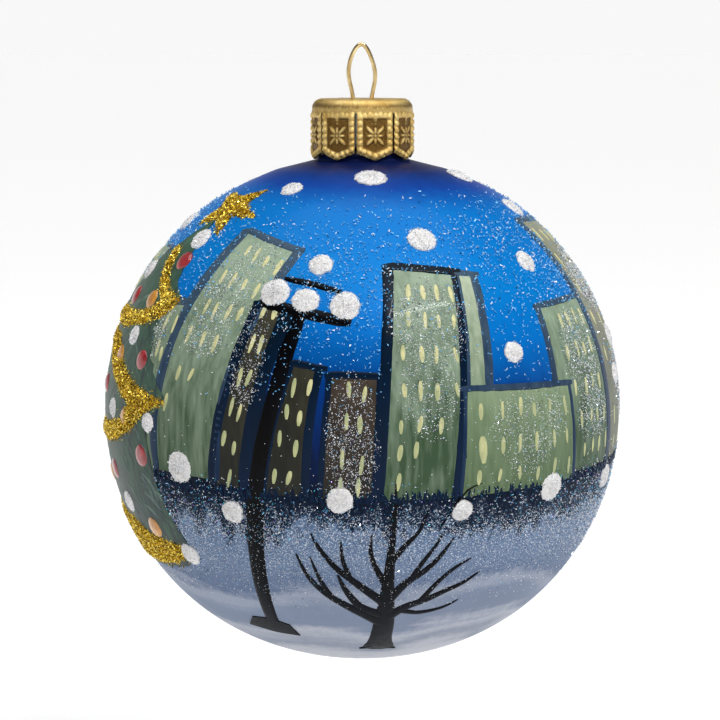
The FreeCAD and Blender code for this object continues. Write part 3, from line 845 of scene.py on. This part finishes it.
# Trunk, then branches from the trunk outwards: azimuth, elevation, width.
BARE_TREE = [
    [(5.8, -54.8, 5), (5.8, -53.4, 6.8), (5.8, -51, 5.6), (5.8, -48, 4.8), (6, -42, 4.4), (6, -36, 3.6),
     (6, -30, 2.7), (6.2, -22, 1.8), (6.6, -12, 1.0), (6.8, -6, 0.3)],
    [(6.5, -52.5, 3.5), (9, -54, 1.8), (12, -54.6, 0.6)],
    [(5, -52.5, 3.5), (2, -53.8, 1.8), (-1, -54.4, 0.6)],
    [(5.5, -42, 3), (1, -39, 2.5), (-4, -35.8, 2), (-9, -32, 1.5), (-12.5, -27.5, 1), (-14.5, -22, 0.4)],
    [(-7, -34, 1.4), (-9.5, -29, 1), (-11.5, -22.5, 0.3)],
    [(5.2, -39, 2.6), (-0.5, -36, 2), (-4, -31, 1.3), (-5.5, -27, 0.5)],
    [(5.5, -35, 2.4), (-1, -29.5, 1.8), (-6, -25, 1.3), (-9.5, -20, 0.9), (-10.8, -17, 0.3)],
    [(-2.6, -28.2, 1.2), (-4.3, -23, 0.9), (-4.5, -18.5, 0.3)],
    [(5.7, -30, 1.8), (3, -25, 1.2), (1.8, -21, 0.9), (2, -17, 0.3)],
    [(6.2, -24, 1.6), (9, -20, 1.2), (12, -16.5, 0.8), (13.6, -12, 0.3)],
    [(6.2, -34.5, 2.4), (10, -29.5, 1.9), (14.5, -26, 1.4), (17.5, -22.5, 1), (19.8, -18.5, 0.3)],
    [(11, -28.6, 1.3), (13.5, -24, 1), (16, -20, 0.7), (17.2, -17.5, 0.3)],
    [(6.5, -40, 2.8), (11, -36.5, 2.2), (16, -34.5, 1.8), (20, -32.5, 1.4), (24.5, -30.5, 1),
     (28.3, -27.8, 0.3)],
    [(14.5, -34.8, 1.4), (18, -29.5, 1.1), (21.5, -26, 0.8), (25, -24, 0.3)],
    [(9.5, -37.6, 1.5), (15, -38.6, 1.2), (21, -37.6, 0.8), (25, -35.5, 0.3)],
    [(16.5, -16, 0.3), (20.5, -9.5, 0.6), (23, -7.5, 0.5), (26.5, -6.7, 0.3)],
]
# The same lamp and tree stand on the back, turned by this much.
BACK_TURN = 176.5


def blacken(name, strokes, feet, turn):
    """Black enamel strokes, turned about the globe's axis."""
    piece = Piece()
    for rows in strokes:
        stroke(piece, [(a + turn, e, w) for a, e, w in rows], LAMP_TOP)
    for outline in feet:
        fill(piece, [(a + turn, e) for a, e in outline], LAMP_TOP - 0.03, grid=1.5)
    piece.make(name, [BLACK])


# ---------------------------------------------------------------- fir tree
FIR_OUTLINE = np.array([
    (-59, 50.5), (-56.5, 44), (-55, 38), (-54, 33), (-50, 29.5), (-54, 25.5), (-55, 22), (-53, 16),
    (-49, 11), (-45.5, 8), (-50, 4), (-52, 0), (-50.5, -5), (-49.5, -10), (-47, -16), (-44.5, -21),
    (-42, -27), (-48, -30), (-58, -32), (-70, -32.5), (-84, -31.5), (-95, -30), (-92, -20), (-86, -10),
    (-88, -4), (-82, 6), (-79, 18), (-86, 22), (-78, 32), (-74, 38), (-67, 42), (-63.5, 46),
])
FIR_TRUNK = -68
FIR_STROKES = 210


def grow_fir(rng):
    """Dark body, then downward brush strokes that get paler towards the tips of the boughs."""
    body = Piece()
    fill(body, FIR_OUTLINE, FIR_TOP, wobble=0.25, rng=rng)
    body.make("fir_body", [FIR_DARK])
    needles = Piece()
    made = 0
    while made < FIR_STROKES:
        azimuth = rng.uniform(-94, -44)
        elevation = rng.uniform(-30, 48)
        side = 1 if azimuth > FIR_TRUNK + (elevation + 30) * 0.12 else -1
        long = rng.uniform(3, 6.5)
        end = (azimuth + side * long * rng.uniform(0.5, 1.1), elevation - long * rng.uniform(0.5, 1.0))
        if not inside(FIR_OUTLINE, np.array([azimuth, end[0]]), np.array([elevation, end[1]])).all():
            continue
        middle = ((azimuth + end[0]) / 2, (elevation + end[1]) / 2 + 0.12 * long)
        wide = rng.uniform(0.7, 1.5)
        near_edge = min(np.hypot(*(FIR_OUTLINE - end).T)) < 6
        tone = rng.choice([0, 1, 2], p=[0.35, 0.25, 0.4] if near_edge else [0.6, 0.34, 0.06])
        rows = [(azimuth, elevation, wide * 0.4), (*middle, wide), (*end, wide * 0.25)]
        stroke(needles, rows, FIR_TOP + 0.012 + 0.0001 * made, int(tone), 1.0)
        made += 1
    needles.make("fir_brushwork", [FIR, FIR_DARK, FIR_FROST])


# ---------------------------------------------------------------- raised dots and drops
# Azimuth, elevation and radius in millimetres.
SNOW_DOTS = [
    (5, 68.5, 2.4), (-35, 62.5, 1.7), (18, 46, 2.15), (-11, 39.5, 1.75),
    (50, 38.5, 1.8), (34.5, 19, 1.6), (76, 67, 2.2), (74, 53, 2.0), (-82, 47.5, 1.9),
    (-41, -5.5, 2.35), (-28, -13.5, 1.75), (-4.5, -9.5, 1.95), (21, -12.5, 1.6),
    (43.5, -10, 2.15), (68.5, -12, 1.9), (80, 17.5, 1.8), (76, 9.5, 1.7),
    (112, 58, 2.1), (136, 41, 1.8), (150, 66, 2.2), (172, 47, 1.9), (-156, 60, 2.0),
    (-138, 42, 1.7), (-116, 60, 2.1), (-104, 40, 1.8), (104, 30, 1.7), (128, 22, 1.6),
    (-150, 24, 1.8), (-122, 26, 1.6), (92, -7, 2.0), (113, -13, 1.7), (133, -8, 2.1),
    (157, -14, 1.8), (179, -7, 2.0), (-160, -13, 1.7), (-139, -8, 2.2), (-117, -13, 1.8),
]
LAMP_GLOBES = [(-21.5, 32.5, 2.25), (-13.5, 31, 2.0), (-4, 30, 2.2),
               (155, 32, 2.1), (163, 31.5, 2.0), (171, 30.5, 2.2)]
RED_BAUBLES = [(-57, 38, 1.7), (-56.5, 15, 1.6), (-54, -5, 1.75), (-75, 27.5, 1.7), (-78, 7, 1.6),
               (-72, -11, 1.7)]
AMBER_BAUBLES = [(-62, 28, 1.6), (-69, 14.5, 1.6), (-61.5, 2, 1.5), (-55, -21.5, 1.8), (-83, -14, 1.7)]
WHITE_BAUBLES = [(-57, 44, 2.0), (-76, 34, 1.8), (-63.5, 19.5, 1.6), (-69, 3, 1.6), (-51, 2.5, 1.5),
                 (-66, -17.5, 1.8), (-44, -26, 1.9)]


def tangent(azimuth, elevation):
    """East, north and outward unit vectors at a place on the globe."""
    out = outward(azimuth, elevation)
    east = outward(azimuth + 90, 0)
    return east, np.cross(out, east), out


def dome(share, reach, height):
    """Height over the flat of a drop at a share of its radius, less the globe's falling away."""
    return height * (1 - share ** 2.6) ** 0.75 - reach ** 2 / (2 * RADIUS / MM)


def beside(azimuth, elevation, reach, turn, up):
    """Offsets in metres from a place on the globe: reach and up in millimetres, turn in radians."""
    east, north, out = tangent(azimuth, elevation)
    return MM * (np.outer(reach * np.cos(turn), east) + np.outer(reach * np.sin(turn), north)
                 + np.outer(up, out))


# Height of the one point, inside the glass, that closes a drop from below.
DROP_FOOT = -0.11
# Distance between the points of a drop.
DROP_GRID = 0.17


def drop(piece, place, height, grain, lump, rng):
    """Round dot of thick paint; grain roughens its top and lump makes its rim uneven (both mm)."""
    azimuth, elevation, radius = place
    base = on_globe(azimuth, elevation)
    rings = max(5, round(radius / DROP_GRID))
    around = max(20, round(2 * math.pi * radius / DROP_GRID))
    turn = np.linspace(0, 2 * math.pi, around, endpoint=False)
    rim = sum(rng.normal(0, lump / k ** 0.7) * np.cos(k * turn + rng.uniform(0, 6.28))
              for k in range(2, 13))
    points = []
    for i in range(1, rings + 1):
        share = i / rings
        reach = (radius + rim * share) * share
        rough = rng.normal(0, grain, around) * (0.3 if i == rings else min(1, i / 4))
        up = dome(share, reach, height) + rough + (SUNK if i == rings else 0.01)
        points.append(base + beside(azimuth, elevation, reach, turn, up))
    out = outward(azimuth, elevation)
    points = np.vstack([base + MM * height * out, *points, base + MM * DROP_FOOT * out])
    faces = []
    foot = len(points) - 1
    for j in range(around):
        k = (j + 1) % around
        faces.append((0, 1 + j, 1 + k))
        for i in range(rings - 1):
            a = 1 + i * around
            faces.append((a + j, a + around + j, a + around + k, a + k))
        last = 1 + (rings - 1) * around
        faces.append((last + k, last + j, foot))
    piece.add(points, faces)


def drops(node, places, material, height, grain, lump, rng):
    """A node's drops as one piece, smooth all over, each with a height a little its own."""
    piece = Piece()
    for place in places:
        drop(piece, place, height * rng.uniform(0.85, 1.05), grain, lump, rng)
    made = piece.make(node + "_relief", [material], crease=180)
    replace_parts(made, node)


# Heights in the middle of a snow dot or lamp globe, of a bauble, and of a white bauble's grains.
SNOW_SWELL = 0.52
BAUBLE_SWELL = 0.5
BAUBLE_GRAINS = 0.46
# Grains in a dot of 1 mm radius.
GRAINS_IN_DOT = 44


def crush(name, places, height, rng):
    """Crushed glass pressed into the wet paste of the white dots, some of it fallen past the rim."""
    grains = Piece()
    for azimuth, elevation, radius in places:
        count = int(GRAINS_IN_DOT * radius ** 2)
        turn = rng.uniform(0, 2 * math.pi, count)
        reach = radius * 1.04 * np.sqrt(rng.random(count))
        up = dome(np.clip(reach / radius, 0, 1), reach, height) + 0.04
        spots = on_globe(azimuth, elevation) + beside(azimuth, elevation, reach, turn, up)
        chips(grains, spots, rng.uniform(0.1, 0.2, count),
              rng.choice([0, 2, 6], count, p=[0.6, 0.08, 0.32]), rng)
    grains.make(name, FROST_TONES, crease=10)


# ---------------------------------------------------------------- gold glitter
# Painted light: one gold foil in a lit, a middle and a shaded copy, so that flakes look to catch or miss
# the light.
GOLD_LIT = sparkle("glitter_lit_gold", srgb(252, 226, 104), 0.9, 0.2)
GOLD_DEEP = sparkle("glitter_deep_gold", srgb(206, 172, 48), 0.9, 0.3)
GOLD_SHADE = sparkle("glitter_shaded_gold", srgb(150, 116, 30), 0.9, 0.4)
GLUE = gilding("glitter_glue", srgb(186, 154, 50), srgb(120, 94, 24), 0.4)


def rim_distance(mesh_points, outline):
    """Distance in degrees from places to the nearest side of an outline."""
    best = np.full(len(mesh_points), 1e9)
    for a, b in zip(outline, np.roll(outline, -1, 0)):
        along = b - a
        t = np.clip(((mesh_points - a) @ along) / (along @ along), 0, 1)
        best = np.minimum(best, np.hypot(*(mesh_points - a - t[:, None] * along).T))
    return best


# Flakes strewn on a square degree of the globe.
STAR_DENSITY = 24
GARLAND_DENSITY = 20


def glitter_patch(node, outline, density, rng):
    """Flat bed of glue strewn with tumbled flakes of foil, which lie higher towards its middle."""
    outline = np.array(outline, float)
    bed = Piece()
    fill(bed, outline, 0.12, grid=0.7, wobble=0.15, rng=rng)
    low, high = outline.min(0), outline.max(0)
    span = (high - low) * (math.cos(math.radians((low[1] + high[1]) / 2)), 1)
    count = int(span[0] * span[1] * density)
    places = rng.uniform(low - 0.5, high + 0.5, (count, 2))
    reach = rim_distance(places, outline)
    keep = inside(outline, *places.T) | (reach < rng.exponential(0.25, count))
    places, reach = places[keep], reach[keep]
    within = inside(outline, *places.T)
    height = np.where(within, 0.08 + 0.3 * np.minimum(1, reach / 1.5), 0.05)
    height *= rng.uniform(0.5, 1.25, len(places))
    sizes = rng.uniform(0.13, 0.3, len(places))
    # Each flake takes the lit, middle or shaded gold at random: painted light.
    tones = 1 + rng.choice([0, 1, 2], len(places), p=[0.42, 0.38, 0.2])
    chips(bed, on_globe(*places.T, height), sizes, tones, rng)
    made = bed.make(node + "_flakes", [GLUE, GOLD_LIT, GOLD_DEEP, GOLD_SHADE], crease=20)
    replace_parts(made, node)


STAR_CENTRE = (-57, 54)
STAR_ARMS = [(-5, 7.4), (62, 5.9), (148, 7.0), (218, 6.0), (300, 6.4)]
STAR_WAIST = 2.9
GARLANDS = {
    "garland_top": [
        (-68, 41.5), (-63.5, 41), (-61, 36), (-57, 32), (-49, 29), (-53, 25), (-60, 22.5),
        (-72, 20.5), (-85, 20.5), (-85, 24.5), (-70, 24.5), (-60, 26), (-57.5, 28.5), (-62, 31.5),
        (-66, 36)],
    "garland_middle": [
        (-85, 19), (-73, 18.5), (-64, 12.5), (-56, 9.5), (-45.5, 7.5), (-52, 4.5), (-58, 0),
        (-66, -3.5), (-78, -5.5), (-85, -5), (-83, -1.5), (-72, -0.5), (-64, 1.5), (-60, 5),
        (-66, 7.5), (-73, 11), (-81, 16)],
    "garland_bottom": [
        (-83, -20), (-66, -21.5), (-58, -23.5), (-46, -24), (-44.5, -26.5), (-50, -29.5),
        (-60, -31.5), (-72, -32.5), (-84, -31)],
}


def star_outline():
    """Five uneven arms around the star's centre."""
    east, north, out = tangent(*STAR_CENTRE)
    corners = []
    for (angle, length), (after, _) in zip(STAR_ARMS, STAR_ARMS[1:] + STAR_ARMS[:1]):
        for turn, reach in ((angle, length), (angle + (after - angle) % 360 / 2, STAR_WAIST)):
            t = math.radians(turn)
            ray = out * RADIUS / MM + east * (reach * math.cos(t)) + north * (reach * math.sin(t))
            ray /= np.linalg.norm(ray)
            corners.append((math.degrees(math.atan2(ray[0], -ray[1])), math.degrees(math.asin(ray[2]))))
    return corners


# ---------------------------------------------------------------- frost and clear glitter
FROST_TONES = [
    sparkle("frost_white", srgb(236, 240, 246), 0.0, 0.3),
    sparkle("frost_ice", srgb(104, 176, 228), 0.1, 0.35),
    sparkle("frost_silver", srgb(220, 224, 230), 1.0, 0.15),
    sparkle("frost_cyan", srgb(70, 170, 196), 0.8, 0.2),
    sparkle("frost_violet", srgb(150, 120, 200), 0.8, 0.2),
    sparkle("frost_shadow", srgb(30, 50, 78), 0.6, 0.3),
    sparkle("frost_grey", srgb(206, 202, 202), 0.0, 0.4),
]


def strewn(count, low, high, rng):
    """Places spread evenly over the whole belt between two elevations."""
    sines = rng.uniform(math.sin(math.radians(low)), math.sin(math.radians(high)), count)
    return rng.uniform(-180, 180, count), np.degrees(np.arcsin(sines))


def patchy(azimuth, elevation, size, seed):
    """Soft random patches from 0 to 1, about size degrees across."""
    rng = np.random.default_rng(seed)
    place = outward(azimuth, elevation) * 57 / size
    waves = rng.normal(size=(7, 3))
    shifts = rng.uniform(0, 6.28, 7)
    return 0.5 + 0.5 * np.tanh(np.sin(place @ waves.T + shifts).sum(-1) * 0.6)


def frost_belt(name, count, low, high, chance, sizes, shares, rng):
    """Chips strewn over a belt, kept by chance; shares is how often each of FROST_TONES comes."""
    azimuth, elevation = strewn(count, low, high, rng)
    keep = rng.random(count) < chance(azimuth, elevation)
    keep &= ~inside(FIR_OUTLINE, azimuth, elevation)
    azimuth, elevation = azimuth[keep], elevation[keep]
    piece = Piece()
    tones = rng.choice(len(shares), len(azimuth), p=shares)
    spread = rng.uniform(*sizes, len(azimuth))
    places = on_globe(azimuth, elevation, 0.07 + 0.12 * rng.random(len(azimuth)))
    chips(piece, places, spread, tones, rng)
    piece.make(name, FROST_TONES, crease=10)


def ramp_between(value, *stops):
    """Piecewise straight chance over elevation."""
    return np.interp(value, [s[0] for s in stops], [s[1] for s in stops])


# Where sugar was shaken on the windows: azimuth, elevation, reach sideways and up.
SUGAR = [
    (-29, 39, 8, 5), (-34, 31, 7, 6), (-37, 23, 6, 5), (-25, 19, 4, 10), (-2, 2, 5, 13), (15.5, 26, 8, 9),
    (14, 12, 6, 9), (37, 5, 10, 6), (36, -2, 6, 4), (57, 17, 7, 9), (58, 4, 6, 6), (-54, 24, 4, 8),
    (78, 32, 9, 8), (84, 9, 10, 9), (108, 14, 6, 9), (130, 9, 7, 6), (146, 22, 5, 10), (164, 4, 4, 8),
    (181, 15, 6, 8), (204, 8, 9, 5), (229, 20, 4, 11), (245, 8, 5, 8), (267, 33, 8, 5), (266, -1, 5, 6),
]


def sugared(azimuth, elevation):
    """1 in the middle of a patch of sugar, falling to 0 at its edge."""
    best = np.zeros(len(azimuth))
    for a0, e0, sideways, up in SUGAR:
        away = np.hypot(((azimuth - a0 + 180) % 360 - 180) / sideways, (elevation - e0) / up)
        best = np.maximum(best, np.clip((1.2 - away) / 0.4, 0, 1))
    return best


def open_sky(azimuth, elevation):
    """Which of the places no tower covers."""
    covered = np.zeros(len(azimuth), bool)
    for tower in TOWERS:
        for turn in (0, 360):
            covered |= inside(tower["corners"], azimuth + turn, elevation)
    return ~covered


def lay_frost(rng):
    """Heavy glitter in the dusk, thinner frost over the snow, flurries in the sky, sugar on the windows."""
    frost_belt("dusk_glitter", 34000, -20, -5,
               lambda a, e: ramp_between(e, (-20, 0.4), (-16, 0.9), (-11, 0.9), (-8.5, 0.5), (-5, 0.0))
               * (0.35 + 0.65 * patchy(a, e, 6, 3)),
               (0.06, 0.17), [0.26, 0.22, 0.1, 0.16, 0.08, 0.18], rng)
    frost_belt("snow_glitter", 66000, -38, -16,
               lambda a, e: ramp_between(e, (-38, 0.0), (-32, 0.2), (-24, 0.6), (-18, 1.0))
               * (0.25 + 0.75 * patchy(a, e, 8, 4)),
               (0.05, 0.13), [0.52, 0.12, 0.04, 0.02, 0.01, 0.12, 0.17], rng)
    frost_belt("sky_flurry", 52000, 10, 62,
               lambda a, e: ramp_between(e, (10, 0.05), (20, 0.2), (33, 0.8), (48, 0.8), (55, 0.25),
                                         (62, 0.03))
               * (0.3 + 0.7 * patchy(a, e, 22, 5)) * (0.08 + 0.92 * open_sky(a, e)),
               (0.12, 0.27), [0.12, 0.86, 0.0, 0.0, 0.0, 0.02], rng)
    frost_belt("window_sugar", 200000, -9, 46,
               lambda a, e: 0.01 + sugared(a, e) * (0.45 + 0.45 * patchy(a, e, 4, 9)),
               (0.06, 0.15), [0.46, 0.05, 0.2, 0.02, 0.03, 0.1, 0.14], rng)


# ---------------------------------------------------------------- stage
FLOOR_SPAN = 40.0
FLOOR_DROP = 0.045
FLOOR_GLOW = 0.08
CAMERA_DISTANCE = 8 * RADIUS
CAMERA_TILT = math.radians(10)
CAMERA_TARGET = CENTRE + Vector((-0.36, 0, 7.05)) * MM
LENS = 101.7
LIGHT_DISTANCE = 0.7
ROOM_POWER = 2.25
ROOM_SPREAD = math.radians(70)
# The world's grey: elevation as the sine of its angle, and brightness.
HORIZON = (0.02, 0.94)
ZENITH = (0.4, 0.13)


def place_in_scene(name, data):
    made = bpy.data.objects.new(name, data)
    bpy.context.scene.collection.objects.link(made)
    return made


def aim(thing, target):
    thing.rotation_euler = (target - thing.location).to_track_quat("-Z", "Y").to_euler()


def lay_floor():
    """White paper, faintly lit of itself so that it meets the world's horizon without a line."""
    height = GLOBE_LOW.z - FLOOR_DROP
    mesh = bpy.data.meshes.new("floor")
    corners = [(x * FLOOR_SPAN, y * FLOOR_SPAN, height) for x, y in ((-1, -1), (1, -1), (1, 1), (-1, 1))]
    mesh.from_pydata(corners, [], [(0, 1, 2, 3)])
    paper = Surface("floor_paper", Base_Color=srgb(255, 255, 255), Roughness=1.0,
                    Emission_Color=(1, 1, 1, 1), Emission_Strength=FLOOR_GLOW)
    mesh.materials.append(paper.material)
    floor = place_in_scene("floor", mesh)


def set_camera():
    data = bpy.data.cameras.new("camera")
    data.sensor_width = 36
    data.lens = LENS
    data.clip_start = 0.01
    camera = place_in_scene("camera", data)
    camera.location = CENTRE + CAMERA_DISTANCE * Vector((0, -math.cos(CAMERA_TILT), math.sin(CAMERA_TILT)))
    aim(camera, CAMERA_TARGET)
    bpy.context.scene.camera = camera


def window_light(name, azimuth, elevation, size, power):
    """Area light that looks at the globe, like a far window."""
    data = bpy.data.lights.new(name, "AREA")
    data.shape = "RECTANGLE"
    data.size, data.size_y = size
    data.energy = power
    lamp = place_in_scene(name, data)
    lamp.location = CENTRE + Vector(outward(azimuth, elevation)) * LIGHT_DISTANCE
    aim(lamp, CENTRE)


def light_room():
    """Broad light from nearly overhead, for the floor above all."""
    data = bpy.data.lights.new("room_light", "SUN")
    data.energy = ROOM_POWER
    data.angle = ROOM_SPREAD
    lamp = place_in_scene("room_light", data)
    lamp.rotation_euler = (-Vector(outward(20, 85))).to_track_quat("-Z", "Y").to_euler()


def paint_world():
    """White at the horizon, dark overhead."""
    world = bpy.data.worlds.new("studio")
    world.use_nodes = True
    bpy.context.scene.world = world
    nodes = world.node_tree.nodes
    links = world.node_tree.links
    height = nodes.new("ShaderNodeSeparateXYZ")
    walls = nodes.new("ShaderNodeValToRGB")
    links.new(nodes.new("ShaderNodeTexCoord").outputs["Generated"], height.inputs[0])
    links.new(height.outputs["Z"], walls.inputs["Fac"])
    links.new(walls.outputs[0], nodes["Background"].inputs["Color"])
    for element, (position, grey) in zip(walls.color_ramp.elements, (HORIZON, ZENITH)):
        element.position = position
        element.color = (grey, grey, grey, 1)


# ---------------------------------------------------------------- putting it all together
def raise_dots(rng):
    """White paste dots with crushed glass in them, and drops of coloured enamel."""
    snow = paste("snow_paste", srgb(234, 232, 230), srgb(196, 194, 195))
    red = enamel("red_enamel", srgb(168, 50, 52), srgb(120, 24, 34))
    amber = enamel("amber_enamel", srgb(206, 150, 62), srgb(160, 98, 30))
    drops("snow_dots", SNOW_DOTS, snow, SNOW_SWELL, 0.06, 0.07, rng)
    drops("lamp_globes", LAMP_GLOBES, snow, SNOW_SWELL, 0.06, 0.06, rng)
    crush("snow_dot_grains", SNOW_DOTS, SNOW_SWELL, rng)
    crush("lamp_globe_grains", LAMP_GLOBES, SNOW_SWELL, rng)
    crush("white_bauble_grains", WHITE_BAUBLES, BAUBLE_GRAINS, rng)
    drops("white_baubles", WHITE_BAUBLES, snow, BAUBLE_SWELL, 0.035, 0.05, rng)
    drops("red_baubles", RED_BAUBLES, red, BAUBLE_SWELL, 0, 0.03, rng)
    drops("amber_baubles", AMBER_BAUBLES, amber, BAUBLE_SWELL, 0, 0.03, rng)


def main():
    rng = np.random.default_rng(12)
    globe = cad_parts["glass_globe"]
    globe.data.materials.clear()
    globe.data.materials.append(lacquer())
    bend_hanger(gilding("gilt_wire", srgb(238, 216, 162), srgb(176, 142, 84), 0.14))
    press_cap(cap_gilding(), rng)
    paint_town(rng)
    for place, turn in (("front", 0), ("back", BACK_TURN)):
        blacken("street_lamp_" + place, [LAMP_POST, LAMP_ARM, LAMP_BAR], [LAMP_FOOT], turn)
        blacken("bare_tree_" + place, BARE_TREE, [], turn)
    stipple_dusk(rng)
    grow_fir(rng)
    raise_dots(rng)
    glitter_patch("tree_star", star_outline(), STAR_DENSITY, rng)
    for name, outline in GARLANDS.items():
        glitter_patch(name, outline, GARLAND_DENSITY, rng)
    lay_frost(rng)
    lay_floor()
    set_camera()
    window_light("strip", 36, 50, (0.3, 0.02), 2.0)
    window_light("key", 28, 56, (0.3, 0.3), 0.25)
    light_room()
    paint_world()
    bpy.context.scene.view_settings.view_transform = "Standard"


main()
